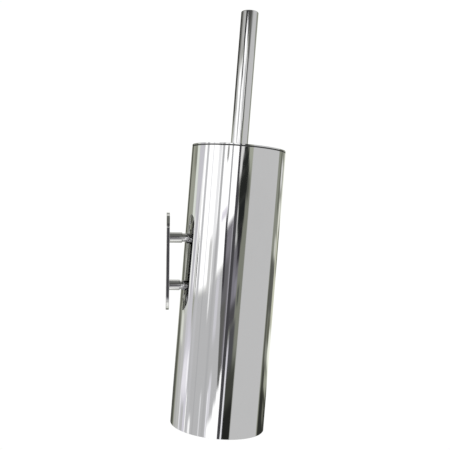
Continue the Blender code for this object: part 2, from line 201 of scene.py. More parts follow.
def turned_mesh(name, corners, steps):
    """Mesh of a profile turned round the Z axis; one that doesn't start on the axis is closed."""
    closed = corners[0][0] > 0.0
    profile = smooth_profile(corners, closed)
    shape = bmesh.new()
    rings = []
    for radius, height in profile:
        if radius < 1e-7:
            rings.append([shape.verts.new((0.0, 0.0, height))] * steps)
            continue
        ring = []
        for step in range(steps):
            angle = 2.0 * math.pi * step / steps
            ring.append(shape.verts.new((radius * math.cos(angle), radius * math.sin(angle), height)))
        rings.append(ring)
    pairs = list(zip(rings, rings[1:]))
    if closed:
        pairs.append((rings[-1], rings[0]))
    for lower, upper in pairs:
        for step in range(steps):
            around = (step + 1) % steps
            corner_list = [lower[step], lower[around], upper[around], upper[step]]
            unique = list(dict.fromkeys(corner_list))
            if len(unique) > 2:
                shape.faces.new(unique)
    bmesh.ops.recalc_face_normals(shape, faces=shape.faces)
    return save_mesh(shape, name)


def new_object(name, data, place):
    """Link a mesh, lamp or camera to the scene at a place."""
    piece = bpy.data.objects.new(name, data)
    bpy.context.scene.collection.objects.link(piece)
    piece.matrix_world = place
    return piece


def ring_profile(inner, outer, top, bottom, edges=(0.0, 0.0, 0.0, 0.0)):
    """Corners of a ring or disc, with roundings: inner, outer top, then outer, inner bottom."""
    places = ((inner, top), (outer, top), (outer, bottom), (inner, bottom))
    return [(*place, edge) for place, edge in zip(places, edges)]


def turned_piece(name, corners, steps, place=TUBE_FRAME):
    """Object made from a profile turned round its own Z axis."""
    return new_object(name, turned_mesh(name, corners, steps), place)


def cut(piece, cutters, operation="DIFFERENCE"):
    """Cut a piece with cutters, which are removed afterwards."""
    for cutter in cutters:
        modifier = piece.modifiers.new("Cut", "BOOLEAN")
        modifier.operation = operation
        modifier.solver = "EXACT"
        modifier.object = cutter
    bpy.context.view_layer.update()
    graph = bpy.context.evaluated_depsgraph_get()
    mesh = bpy.data.meshes.new_from_object(piece.evaluated_get(graph))
    piece.modifiers.clear()
    piece.data = mesh
    for cutter in cutters:
        bpy.data.objects.remove(cutter, do_unlink=True)


def finish(piece, kind, body, node):
    """Shade a piece, paint it, and hang it on its body in place of its CAD node."""
    material, slot_name = FINISHES[kind]
    piece.data.shade_smooth()
    piece.data.set_sharp_from_angle(angle=SHARP_ANGLE)
    piece.data.materials.clear()
    piece.data.materials.append(material)
    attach(piece, body)
    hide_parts(node)


def rod_cutter(radius, bottom, top, place, steps=STEPS_SMALL):
    """Plain round cutter."""
    return turned_piece("cutter", ring_profile(0.0, radius, top, bottom), steps, place)


def cone_cutter(wide, narrow, mouth, throat, place):
    """Cutter of a countersunk hole: a cone from its mouth to its throat, then straight on."""
    slope = (wide - narrow) / (throat - mouth)
    over = mouth - throat
    corners = [
        (0.0, mouth + over, 0.0),
        (wide - slope * over, mouth + over, 0.0),
        (narrow, throat, 0.0),
        (narrow, throat - 3.0 * over, 0.0),
        (0.0, throat - 3.0 * over, 0.0),
    ]
    return turned_piece("cutter", corners, STEPS_SMALL, place)


def hexagon_cutter(radius, face, place):
    """Six-sided cutter for the socket in a screw's face."""
    return rod_cutter(radius, face - SOCKET_DEPTH, face + SOCKET_DEPTH, place, 6)


# --- node helpers ---
def new_material(name):
    """Empty Principled material: returns the material, its tree and its shader."""
    material = bpy.data.materials.new(name)
    material.use_nodes = True
    tree = material.node_tree
    return material, tree, tree.nodes["Principled BSDF"]


def add_node(tree, kind, inputs=None, **settings):
    """Add a shader node; inputs maps a socket's name or number to a value or another socket."""
    node = tree.nodes.new("ShaderNode" + kind)
    for key, value in settings.items():
        setattr(node, key, value)
    for key, value in (inputs or {}).items():
        if isinstance(value, bpy.types.NodeSocket):
            tree.links.new(value, node.inputs[key])
        else:
            node.inputs[key].default_value = value
    return node


def wire(tree, shader, **sources):
    """Link outputs to a shader's sockets, named with _ for a space."""
    for name, source in sources.items():
        tree.links.new(source, shader.inputs[name.replace("_", " ")])


def math_node(tree, operation, *values):
    """Math node's output."""
    node = add_node(tree, "Math", dict(enumerate(values)), operation=operation)
    return node.outputs[0]


def noise(tree, vector, scale, detail=3.0, roughness=0.5):
    """Noise texture's factor."""
    inputs = {"Vector": vector, "Scale": scale, "Detail": detail, "Roughness": roughness}
    return add_node(tree, "TexNoise", inputs).outputs["Fac"]


def stretch(tree, scale):
    """The piece's own coordinates, scaled unevenly."""
    place = add_node(tree, "TexCoord").outputs["Object"]
    return add_node(tree, "Mapping", {"Vector": place, "Scale": scale}).outputs[0]


def remap(tree, value, low, high, to_low, to_high):
    """Linear remap, clamped."""
    inputs = {"Value": value, "From Min": low, "From Max": high, "To Min": to_low, "To Max": to_high}
    return add_node(tree, "MapRange", inputs).outputs["Result"]


def bump(tree, height, strength, distance, normal=None):
    """Bump node's normal."""
    inputs = {"Height": height, "Strength": strength, "Distance": distance}
    if normal is not None:
        inputs["Normal"] = normal
    return add_node(tree, "Bump", inputs).outputs["Normal"]


def colour_blend(tree, factor, first, second):
    """Blend of two colours."""
    node = add_node(tree, "Mix", {"Factor": factor}, data_type="RGBA")
    for number, value in ((6, first), (7, second)):
        if isinstance(value, bpy.types.NodeSocket):
            tree.links.new(value, node.inputs[number])
        else:
            node.inputs[number].default_value = (*value, 1.0)
    return node.outputs[2]


# --- materials ---
def polished_steel(name, roughness=0.030, line_scale=1.0):
    """Mirror-polished stainless steel: faint draw lines, wiping marks and specks."""
    material, tree, shader = new_material(name)
    shader.inputs["Metallic"].default_value = 1.0
    lines = noise(tree, stretch(tree, (900.0 * line_scale, 900.0 * line_scale, 6.0)), 1.0, 4.0)
    clouds = noise(tree, stretch(tree, (28.0, 28.0, 14.0)), 1.0, 4.0, 0.6)
    specks = noise(tree, stretch(tree, (1600.0, 1600.0, 1600.0)), 1.0, 1.0)
    smudge = remap(tree, clouds, 0.50, 0.78, 0.0, 1.0)
    film = math_node(tree, "MULTIPLY", smudge, 0.030)
    grain = math_node(tree, "MULTIPLY", lines, 0.012)
    dust = remap(tree, specks, 0.76, 0.82, 0.0, 0.10)
    total = math_node(tree, "ADD", math_node(tree, "ADD", film, grain), dust)
    rough = math_node(tree, "ADD", total, roughness)
    clean = (STEEL_REFLECTANCE, STEEL_REFLECTANCE, STEEL_REFLECTANCE * 1.004)
    worn = tuple(channel * 0.975 for channel in clean)
    tint = colour_blend(tree, smudge, clean, worn)
    waves = noise(tree, stretch(tree, (26.0, 26.0, 5.0)), 1.0, 1.0)
    soft = bump(tree, waves, 0.20, 0.00006)
    normal = bump(tree, lines, 0.05, 0.00001, soft)
    wire(tree, shader, Base_Color=tint, Roughness=rough, Normal=normal)
    return material


def plain_steel(name):
    """Machined stainless steel: fine turning rings and a dull handling film."""
    material, tree, shader = new_material(name)
    shader.inputs["Metallic"].default_value = 1.0
    rings = noise(tree, stretch(tree, (40.0, 40.0, 5200.0)), 1.0, 3.0)
    clouds = noise(tree, stretch(tree, (180.0, 180.0, 180.0)), 1.0, 4.0, 0.6)
    rough = math_node(tree, "ADD", remap(tree, rings, 0.3, 0.7, 0.20, 0.34),
                      remap(tree, clouds, 0.45, 0.8, 0.0, 0.16))
    tint = colour_blend(tree, clouds, (0.60, 0.60, 0.61), (0.50, 0.50, 0.50))
    normal = bump(tree, rings, 0.25, 0.00003)
    wire(tree, shader, Base_Color=tint, Roughness=rough, Normal=normal)
    return material


def moulded_plastic(name, dark, light, roughness, grain):
    """Moulded plastic: a fine eroded grain, soft flow marks and dry water spots."""
    material, tree, shader = new_material(name)
    skin = noise(tree, stretch(tree, (grain, grain, grain)), 1.0, 2.0, 0.6)
    flow = noise(tree, stretch(tree, (60.0, 60.0, 9.0)), 1.0, 4.0, 0.55)
    spots = noise(tree, stretch(tree, (420.0, 420.0, 420.0)), 1.0, 1.0)
    tint = remap(tree, flow, 0.35, 0.70, 0.0, 1.0)
    dry = remap(tree, spots, 0.66, 0.74, 0.0, 1.0)
    body = colour_blend(tree, tint, dark, light)
    lime = tuple(0.8 * channel + 0.05 for channel in light)
    spotted = colour_blend(tree, math_node(tree, "MULTIPLY", dry, 0.35), body, lime)
    rough = math_node(tree, "ADD", remap(tree, skin, 0.3, 0.7, roughness - 0.06, roughness + 0.08),
                      math_node(tree, "MULTIPLY", dry, 0.12))
    normal = bump(tree, skin, 0.35, 0.00004)
    wire(tree, shader, Base_Color=spotted, Roughness=rough, Normal=normal)
    return material


def nylon(name):
    """Nylon filaments: each a little different, some more yellow than others."""
    material, tree, shader = new_material(name)
    shader.inputs["IOR"].default_value = 1.53
    shader.inputs["Subsurface Weight"].default_value = 0.15
    shader.inputs["Subsurface Scale"].default_value = 0.002
    island = add_node(tree, "NewGeometry").outputs["Random Per Island"]
    streak = noise(tree, stretch(tree, (900.0, 900.0, 900.0)), 1.0, 2.0)
    cool = (0.92, 0.93, 0.92)
    warm = (0.82, 0.82, 0.77)
    mottled = math_node(tree, "ADD", math_node(tree, "MULTIPLY", island, 0.7),
                        math_node(tree, "MULTIPLY", streak, 0.3))
    tint = colour_blend(tree, mottled, cool, warm)
    rough = remap(tree, streak, 0.3, 0.7, 0.28, 0.50)
    normal = bump(tree, streak, 0.2, 0.00003)
    wire(tree, shader, Base_Color=tint, Roughness=rough, Normal=normal)
    return material


BLACK_TONES = ((0.012, 0.012, 0.013), (0.022, 0.022, 0.023))
GREY_TONES = ((0.030, 0.031, 0.033), (0.046, 0.047, 0.049))
FINISHES = {
    "tube": (polished_steel("steel_tube_polished"), "polished_steel"),
    "handle": (polished_steel("steel_handle_polished", 0.028, 2.0), "polished_steel"),
    "fitting": (polished_steel("steel_fitting_polished", 0.035, 2.0), "polished_steel"),
    "machined": (plain_steel("steel_machined"), "plain_steel"),
    "black": (moulded_plastic("plastic_black", *BLACK_TONES, 0.42, 2600.0), "black_plastic"),
    "grey": (moulded_plastic("plastic_grey", *GREY_TONES, 0.46, 2200.0), "grey_plastic"),
    "nylon": (nylon("nylon_white"), "white_nylon"),
}


# --- wall side ---
POST_COUNTERSINK = 0.0055  # mouth radius of the holes behind the posts
WALL_COUNTERSINK = 0.0046
WALL_HOLE_Z = 0.0345
HOLE_RADIUS = 0.0028
COUNTERSINK_DEEP = 0.0027
PLATE_FILLET = 0.0003
PLATE_END_STEPS = 64


def plate_outline(half_height, half_width, inset, height):
    """Points round an upright plate with fully rounded ends, a little inside its outline."""
    radius = half_width - inset
    straight = half_height - half_width
    points = []
    for end, start in ((straight, -90.0), (-straight, 90.0)):
        for step in range(PLATE_END_STEPS + 1):
            angle = math.radians(start + 180.0 * step / PLATE_END_STEPS)
            points.append((end + radius * math.cos(angle), radius * math.sin(angle), height))
    return points


def plate_layers(thickness):
    """Inset and height of the rings that round the plate's two rims."""
    quarter = []
    for step in range(FILLET_STEPS + 1):
        angle = math.pi / 2.0 * step / FILLET_STEPS
        quarter.append((PLATE_FILLET * (1.0 - math.sin(angle)), PLATE_FILLET * (1.0 - math.cos(angle))))
    lower = [(PLATE_FILLET + HOLD, 0.0)] + quarter + [(0.0, PLATE_FILLET + HOLD)]
    return lower + [(inset, thickness - height) for inset, height in reversed(lower)]


def plate_mesh(name, half_height, half_width, thickness):
    """Upright plate, long along its own X, with rounded rims."""
    shape = bmesh.new()
    rings = []
    for inset, height in plate_layers(thickness):
        outline = plate_outline(half_height, half_width, inset, height)
        rings.append([shape.verts.new(point) for point in outline])
    shape.faces.new(list(reversed(rings[0])))
    shape.faces.new(rings[-1])
    count = len(rings[0])
    for lower, upper in zip(rings, rings[1:]):
        for index in range(count):
            around = (index + 1) % count
            shape.faces.new((lower[index], lower[around], upper[around], upper[index]))
    return save_mesh(shape, name)


def build_plate():
    """Upright wall plate with two wall-screw holes and two holes for the posts' rear screws."""
    low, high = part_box("wall_plate")
    half_height = (high.z - low.z) / 2.0
    half_width = (high.y - low.y) / 2.0
    place = cross_frame("wall_plate")
    mesh = plate_mesh("plate_upright", half_height, half_width, high.x - low.x)
    plate = new_object("plate_upright", mesh, place)
    cutters = []
    for z in (-WALL_HOLE_Z, WALL_HOLE_Z):
        spot = Matrix.Translation((0.0, 0.0, z)) @ place
        cutters.append(cone_cutter(WALL_COUNTERSINK, HOLE_RADIUS, high.x, high.x - COUNTERSINK_DEEP, spot))
    for side in ("upper", "lower"):
        spot = cross_frame("plate_screw_" + side)
        cutters.append(cone_cutter(POST_COUNTERSINK, HOLE_RADIUS, low.x, low.x + COUNTERSINK_DEEP, spot))
    cut(plate, cutters)
    finish(plate, "fitting", "holder", "wall_plate")


def build_post(side):
    """Turned post with softened rims; it touches the plate."""
    node = "post_" + side
    _, end, radius = cross_measure(node)
    face = cross_measure("wall_plate")[1]
    edges = (0.0, FINE_EDGE * 2.0, FINE_EDGE, 0.0)
    corners = ring_profile(HOLE_RADIUS, radius, end, face, edges)
    post = turned_piece(node + "_turned", corners, STEPS_SMALL, cross_frame(node))
    finish(post, "fitting", "holder", node)


def tube_gauge(radius):
    """Long round cutter round the tube's axis."""
    low, high, _ = measure("outer_tube")
    return rod_cutter(radius, low, high, TUBE_FRAME, STEPS_TUBE)


def build_spacer(side):
    """Short spacer whose end is hollowed to the tube's wall."""
    node = "post_spacer_" + side
    start, end, radius = cross_measure(node)
    edges = (0.0, 0.0, FINE_EDGE, 0.0)
    corners = ring_profile(HOLE_RADIUS, radius, end + radius, start - CLEARANCE, edges)
    spacer = turned_piece(node + "_turned", corners, STEPS_SMALL, cross_frame(node))
    cut(spacer, [tube_gauge(measure("outer_tube")[2])])
    finish(spacer, "fitting", "holder", node)


def build_washer(side):
    """Saddle washer inside the tube."""
    node = "tube_washer_" + side
    start, end, radius = cross_measure(node)
    edges = (0.0, FINE_EDGE, 0.0, 0.0)
    corners = ring_profile(HOLE_RADIUS, radius, end, start - radius, edges)
    washer = turned_piece(node + "_turned", corners, STEPS_SMALL, cross_frame(node))
    cut(washer, [tube_gauge(inner_radius("outer_tube"))], "INTERSECT")
    finish(washer, "machined", "holder", node)


SCREW_RADIUS = 0.0025
SCREW_TIP = 0.0005
SOCKET_RADIUS = 0.0018
SOCKET_DEPTH = 0.0015
SCREW_HEAD_HEIGHT = 0.0025
BUTTON_CROWN = 0.45  # flat crown of a button head, as a share of its radius
BUTTON_SHOULDER = (0.86, 0.55)  # shares of its radius and height
BUTTON_ROUNDING = 0.0009
THREAD_PITCH = 0.0008
THREAD_DEPTH = 0.00022


def thread(start, end):
    """Corners of a screw shank with thread rings from start to end."""
    direction = 1.0 if end > start else -1.0
    count = int(abs(end - start) / THREAD_PITCH)
    corners = []
    for turn in range(count):
        height = start + direction * THREAD_PITCH * turn
        corners.append((SCREW_RADIUS - THREAD_DEPTH, height, 0.0))
        corners.append((SCREW_RADIUS, height + direction * THREAD_PITCH / 2.0, 0.0))
    return corners


def build_plate_screw(side):
    """Countersunk screw that holds the post from behind the plate."""
    node = "plate_screw_" + side
    rear, tip, head = cross_measure(node)
    neck = rear + SCREW_HEAD_HEIGHT
    corners = [(0.0, rear, 0.0), (head, rear, FINE_EDGE), (SCREW_RADIUS, neck, 0.0)]
    corners += thread(neck + THREAD_PITCH, tip - SCREW_TIP)
    corners += [(SCREW_RADIUS - SCREW_TIP, tip, 0.0), (0.0, tip, 0.0)]
    place = cross_frame(node)
    screw = turned_piece(node + "_threaded", corners, STEPS_SMALL, place)
    cut(screw, [hexagon_cutter(SOCKET_RADIUS, rear, place)])
    finish(screw, "machined", "holder", node)


def build_tube_screw(side):
    """Button-head screw inside the tube."""
    node = "tube_screw_" + side
    tip, front, head = cross_measure(node)
    seat = cross_measure("tube_washer_" + side)[1]
    corners = [
        (0.0, front, 0.0),
        (head * BUTTON_CROWN, front, FINE_EDGE),
        (head * BUTTON_SHOULDER[0], seat + (front - seat) * BUTTON_SHOULDER[1], BUTTON_ROUNDING),
        (head, seat, FINE_EDGE),
        (SCREW_RADIUS, seat, 0.0),
    ]
    corners += thread(seat - THREAD_PITCH, tip + SCREW_TIP)
    corners += [(SCREW_RADIUS - SCREW_TIP, tip, 0.0), (0.0, tip, 0.0)]
    place = cross_frame(node)
    screw = turned_piece(node + "_threaded", corners, STEPS_SMALL, place)
    cut(screw, [hexagon_cutter(SOCKET_RADIUS, front, place)])
    finish(screw, "machined", "holder", node)


# --- tube ---
PAN_WALL = 0.0012
PAN_BEND = 0.0011


def build_tube():
    """Tube with softened rims and its two screw holes."""
    low, high, radius = measure("outer_tube")
    corners = ring_profile(inner_radius("outer_tube"), radius, high, low, (FINE_EDGE,) * 4)
    tube = turned_piece("tube_shell", corners, STEPS_TUBE)
    cutters = []
    for side in ("upper", "lower"):
        spot = cross_frame("tube_screw_" + side)
        cutters.append(rod_cutter(HOLE_RADIUS, 0.0, TUBE_MIDDLE.x, spot))
    cut(tube, cutters)
    finish(tube, "tube", "holder", "outer_tube")


def build_base():
    """Pressed pan that closes the tube's lower end."""
    low, high, radius = measure("tube_base")
    corners = [
        (0.0, low + PAN_WALL, 0.0),
        (radius - PAN_WALL, low + PAN_WALL, PAN_BEND - PAN_WALL / 2.0),
        (radius - PAN_WALL, high, FINE_EDGE),
        (radius, high, FINE_EDGE),
        (radius, low, PAN_BEND),
        (0.0, low, 0.0),
    ]
    finish(turned_piece("base_pan", corners, STEPS_TUBE), "machined", "holder", "tube_base")


# --- liner and lid ---
LINER_WALL = 0.0014
LINER_NECK = 0.0365  # outer radius under the flange
LINER_FOOT = 0.0353  # outer radius at the foot
FLANGE_THICKNESS = 0.0006
SPIGOT_WALL = 0.002
SPIGOT_WEB = 0.0015
SPIGOT_ROUNDING = 0.0006
COLLAR_ROUNDING = 0.0005
GRUB_RADIUS = 0.002
GRUB_HOLE_RADIUS = 0.0021
GRUB_SOCKET_RADIUS = 0.0011


def build_liner():
    """Plastic liner with a thin hanging flange and a rounded foot."""
    low, high, flange = measure("liner_cup")
    corner = 2.0 * LINER_WALL
    corners = [
        (0.0, low + LINER_WALL, 0.0),
        (LINER_FOOT - LINER_WALL, low + LINER_WALL, corner),
        (LINER_NECK - LINER_WALL, high, FINE_EDGE),
        (flange, high, FINE_EDGE),
        (flange, high - FLANGE_THICKNESS, FINE_EDGE),
        (LINER_NECK, high - FLANGE_THICKNESS, FINE_EDGE),
        (LINER_FOOT, low, corner + LINER_WALL / 2.0),
        (0.0, low, 0.0),
    ]
    finish(turned_piece("liner_bucket", corners, STEPS_TUBE), "grey", "liner", "liner_cup")


def build_lid():
    """Lid disc with softened rims."""
    low, high, radius = measure("lid_plate")
    bore = measure("handle_tube")[2]
    corners = ring_profile(bore, radius, high, low, (FINE_EDGE, FINE_EDGE, FINE_EDGE, 0.0))
    finish(turned_piece("lid_disc", corners, STEPS_TUBE), "tube", "brush", "lid_plate")


def build_spigot():
    """Plastic ring under the lid that centres it in the liner's mouth."""
    under_lid = measure("lid_plate")[0]
    foot, top, outer = measure("lid_spigot")
    neck = inner_radius("lid_spigot")
    corners = [
        (outer, under_lid, 0.0),
        (outer, foot, SPIGOT_ROUNDING),
        (outer - SPIGOT_WALL, foot, FINE_EDGE),
        (outer - SPIGOT_WALL, top - SPIGOT_WEB, FINE_EDGE * 2.0),
        (neck, top - SPIGOT_WEB, 0.0),
        (neck, under_lid, 0.0),
    ]
    finish(turned_piece("lid_spigot_ring", corners, STEPS_TUBE), "black", "brush", "lid_spigot")


def build_collar():
    """Stepped collar that holds the lid on the handle, with a grub screw in its side."""
    under_lid = measure("lid_plate")[0]
    bore = measure("handle_tube")[2]
    neck = inner_radius("lid_spigot") - CLEARANCE
    shoulder = measure("lid_spigot")[1] - SPIGOT_WEB - CLEARANCE
    foot, _, wide = measure("lid_collar")
    corners = [
        (neck, under_lid, 0.0),
        (neck, shoulder, 0.0),
        (wide, shoulder, FINE_EDGE * 2.0),
        (wide, foot, COLLAR_ROUNDING),
        (bore, foot, 0.0),
        (bore, under_lid, 0.0),
    ]
    collar = turned_piece("lid_collar_turned", corners, STEPS_ROUND)
    place = TUBE_FRAME @ Matrix.Translation(UP * (shoulder + foot) / 2.0) @ QUARTER_TURN
    cut(collar, [rod_cutter(GRUB_HOLE_RADIUS, 0.0, 2.0 * wide, place)])
    finish(collar, "machined", "brush", "lid_collar")
    build_grub_screw(bore, place)


def build_grub_screw(bore, place):
    """Headless socket screw that reaches from the collar's side to the handle."""
    reach = measure("collar_grub_screw")[2]
    corners = ring_profile(0.0, GRUB_RADIUS, reach, bore, (0.0, FINE_EDGE, FINE_EDGE, 0.0))
    grub = turned_piece("grub_screw_turned", corners, STEPS_SMALL, place)
    cut(grub, [hexagon_cutter(GRUB_SOCKET_RADIUS, reach, place)])
    finish(grub, "machined", "brush", "collar_grub_screw")


# --- brush ---
HANDLE_EDGE = 0.0009  # rounding of the handle's top rim
HANDLE_WALL = 0.0012
HANDLE_BORE_EDGE = 0.00008
CAP_OVERLAP = 0.0002  # the disc is set this far into the handle's wall
CAP_EDGE = 0.00012
STUD_RADIUS = 0.004
PLUG_ROUNDING = 0.0004
CORE_BORE = 0.0043
CORE_BORE_DEPTH = 0.0143
CORE_BORE_EDGE = 0.0002
CORE_PROFILE = (
    # share of the radius, height above the foot and rounding, from the waist to the foot
    (0.88, 0.003, 0.004),
    (0.55, 0.0, 0.002),
)
CORE_TOP_ROUNDING = 0.0008


def build_handle():
    """Handle tube with a rounded top rim."""
    low, high, radius = measure("handle_tube")
    edges = (HANDLE_BORE_EDGE, HANDLE_EDGE, FINE_EDGE, 0.0)
    corners = ring_profile(radius - HANDLE_WALL, radius, high, low, edges)
    finish(turned_piece("handle_rod", corners, STEPS_ROUND), "handle", "brush", "handle_tube")


def build_cap():
    """Disc that closes the handle's top."""
    low, high, radius = measure("handle_cap")
    corners = ring_profile(0.0, radius + CAP_OVERLAP, high, low, (0.0, CAP_EDGE, 0.0, 0.0))
    finish(turned_piece("handle_end_disc", corners, STEPS_ROUND), "handle", "brush", "handle_cap")


def build_adapter():
    """Plastic plug and stud between the handle and the brush head."""
    low, high, radius = measure("head_adapter")
    top = measure("handle_tube")[0]
    plug = radius - HANDLE_WALL - CLEARANCE
    foot = measure("brush_core")[1]
    corners = [
        (0.0, high, 0.0),
        (plug, high, PLUG_ROUNDING),
        (plug, top, 0.0),
        (radius, top, FINE_EDGE),
        (radius, foot, FINE_EDGE),
        (STUD_RADIUS, foot, 0.0),
        (STUD_RADIUS, low, PLUG_ROUNDING),
        (0.0, low, 0.0),
    ]
    finish(turned_piece("head_adapter_moulded", corners, STEPS_ROUND), "black", "brush", "head_adapter")


def build_core():
    """Moulded core that carries the tufts."""
    low, high, radius = measure("brush_core")
    corners = [
        (0.0, high - CORE_BORE_DEPTH, 0.0),
        (CORE_BORE, high - CORE_BORE_DEPTH, 0.0),
        (CORE_BORE, high, CORE_BORE_EDGE),
        (radius, high, CORE_TOP_ROUNDING),
    ]
    corners += [(radius * share, low + rise, rounding) for share, rise, rounding in CORE_PROFILE]
    corners.append((0.0, low, 0.0))
    finish(turned_piece("brush_core_moulded", corners, STEPS_ROUND), "black", "brush", "brush_core")


TUFT_ROWS = 11
TUFTS_AROUND = 16
TIP_RINGS = ((1, 0.0), (6, 0.0026), (11, 0.0052))  # tufts in a ring, and the ring's radius
FILAMENTS = 13  # in each tuft
TUFT_RADIUS = 0.0010  # at the core
ROOT_SHARE = 0.80  # share of the core's radius where the lowest side tufts start
ROOT_FLARE = 0.18  # what the highest ones add to it
ROOT_DEPTH = 0.001  # side bristles start this far inside the core
TIP_ROOT_DEPTH = 0.0016
SIDE_FAN_ROUND = 3.4  # how much wider a side tuft is at its tips, round the core
SIDE_FAN_ALONG = 2.2  # and along the core
TIP_FAN = 2.45
SIDE_MARGIN = 0.0006  # side bristles stay this far inside the ends of the CAD solid
REACH_MARGIN = 0.0004
TIP_MARGIN = 0.0002
TRIMMED_SHARE = 0.20  # the rows nearest each end are cut shorter
TOP_TRIM = 0.050
FOOT_TRIM = 0.022
STRAY_ROUND = 0.0007  # usual size of the random strays of a filament's tip
STRAY_ALONG = 0.0005
STRAY_TRIM = 0.00035
STRAY_FOOT = 0.0003
SIDE_SAG = (0.0006, 0.0005)  # usual bow of a side bristle, round the core and along it
TIP_SAG = 0.0004
FILAMENT_RADIUS = 0.00021
FILAMENT_END = 0.55  # share of the radius that is left at the tip
FILAMENT_SIDES = 5
FILAMENT_RINGS = 5
SPIRAL_STEP = math.radians(137.5)


def add_filament(points, faces, root, tip, sag):
    """Append one bristle, a thin round strand that bows a little on its way to its tip."""
    line = tip - root
    side = line.cross(UP)
    if side.length < 1e-6:
        side = Vector((1.0, 0.0, 0.0))
    side.normalize()
    up = side.cross(line).normalized()
    start = len(points)
    for ring in range(FILAMENT_RINGS):
        share = ring / (FILAMENT_RINGS - 1)
        centre = root + line * share + sag * math.sin(math.pi * share) * 0.5
        radius = FILAMENT_RADIUS * (1.0 if ring < FILAMENT_RINGS - 1 else FILAMENT_END)
        for corner in range(FILAMENT_SIDES):
            angle = 2.0 * math.pi * corner / FILAMENT_SIDES
            points.append(centre + side * radius * math.cos(angle) + up * radius * math.sin(angle))
    for ring in range(FILAMENT_RINGS - 1):
        for corner in range(FILAMENT_SIDES):
            around = (corner + 1) % FILAMENT_SIDES
            lower = start + ring * FILAMENT_SIDES
            upper = lower + FILAMENT_SIDES
            faces.append((lower + corner, lower + around, upper + around, upper + corner))
    last = start + (FILAMENT_RINGS - 1) * FILAMENT_SIDES
    faces.append(tuple(last + corner for corner in range(FILAMENT_SIDES)))
    faces.append(tuple(start + corner for corner in reversed(range(FILAMENT_SIDES))))


def spread(index):
    """Place of one filament in the even spiral that fills a tuft."""
    distance = TUFT_RADIUS * math.sqrt((index + 0.5) / FILAMENTS)
    angle = index * SPIRAL_STEP
    return distance * math.cos(angle), distance * math.sin(angle)


def trimmed_reach(dice, height, low, high, reach):
    """How far a side bristle stands out at a height, cut shorter towards both ends."""
    share = (height - low) / (high - low)
    top_trim = max(0.0, share - (1.0 - TRIMMED_SHARE)) * TOP_TRIM
    foot_trim = max(0.0, TRIMMED_SHARE - share) * FOOT_TRIM
    trim = top_trim + foot_trim + abs(dice.gauss(0.0, STRAY_TRIM))
    return reach - REACH_MARGIN - trim


def build_side_bristles():
    """Rings of tufts that stand out from the core, trimmed to the head's outline."""
    dice = random.Random(11)
    low, high, reach = measure("side_bristles")
    core = measure("brush_core")[2]
    points = []
    faces = []
    for row, tuft in itertools.product(range(TUFT_ROWS), range(TUFTS_AROUND)):
        share = (row + 0.5) / TUFT_ROWS
        height = low + (high - low) * share
        root_radius = core * (ROOT_SHARE + ROOT_FLARE * share) - ROOT_DEPTH
        angle = 2.0 * math.pi * (tuft + 0.5 * (row % 2)) / TUFTS_AROUND
        out = Vector((math.cos(angle), math.sin(angle), 0.0))
        across = Vector((-out.y, out.x, 0.0))
        for index in range(FILAMENTS):
            u, v = spread(index)
            root = out * root_radius + across * u + UP * (height + v)
            fan_round = u * SIDE_FAN_ROUND + dice.gauss(0.0, STRAY_ROUND)
            fan_along = v * SIDE_FAN_ALONG + dice.gauss(0.0, STRAY_ALONG)
            tip_height = min(max(height + fan_along, low + SIDE_MARGIN), high - SIDE_MARGIN)
            stand = trimmed_reach(dice, tip_height, low, high, reach)
            tip_out = out * stand + across * fan_round
            tip = tip_out * min(1.0, stand / tip_out.length) + UP * tip_height
            sag = across * dice.gauss(0.0, SIDE_SAG[0]) + UP * dice.gauss(0.0, SIDE_SAG[1])
            add_filament(points, faces, root, tip, sag)
    place_bristles("side_bristle_tufts", points, faces, "side_bristles")


def build_tip_bristles():
    """Tufts at the foot of the core, spread outwards for the bowl's drain."""
    dice = random.Random(12)
    low, _, reach = measure("tip_bristles")
    core_foot = measure("brush_core")[0]
    limit = reach - FILAMENT_RADIUS
    points = []
    faces = []
    tufts = [(radius, 2.0 * math.pi * tuft / count) for count, radius in TIP_RINGS for tuft in range(count)]
    for radius, angle in tufts:
        centre = Vector((radius * math.cos(angle), radius * math.sin(angle), 0.0))
        for index in range(FILAMENTS):
            u, v = spread(index)
            flat_root = centre + Vector((u, v, 0.0))
            root = flat_root + UP * (core_foot + TIP_ROOT_DEPTH)
            wild = Vector((dice.gauss(0.0, STRAY_ROUND), dice.gauss(0.0, STRAY_ROUND), 0.0))
            flat_tip = flat_root * TIP_FAN + wild
            if flat_tip.length > limit:
                flat_tip *= limit / flat_tip.length
            tip = flat_tip + UP * (low + TIP_MARGIN + abs(dice.gauss(0.0, STRAY_FOOT)))
            sag = Vector((dice.gauss(0.0, TIP_SAG), dice.gauss(0.0, TIP_SAG), 0.0))
            add_filament(points, faces, root, tip, sag)
    place_bristles("tip_bristle_tufts", points, faces, "tip_bristles")


def place_bristles(name, points, faces, node):
    """Make the bristle mesh and hang it on the brush."""
    mesh = bpy.data.meshes.new(name)
    mesh.from_pydata([tuple(point) for point in points], [], faces)
    mesh.update()
    tufts = new_object(name, mesh, TUBE_FRAME)
    finish(tufts, "nylon", "brush", node)


# --- studio ---
def linear(tone):
    """Linear light level of a display tone from 0 to 255."""
    level = tone / 255.0
    if level <= 0.04045:
        return level / 12.92
    return ((level + 0.055) / 1.055) ** 2.4


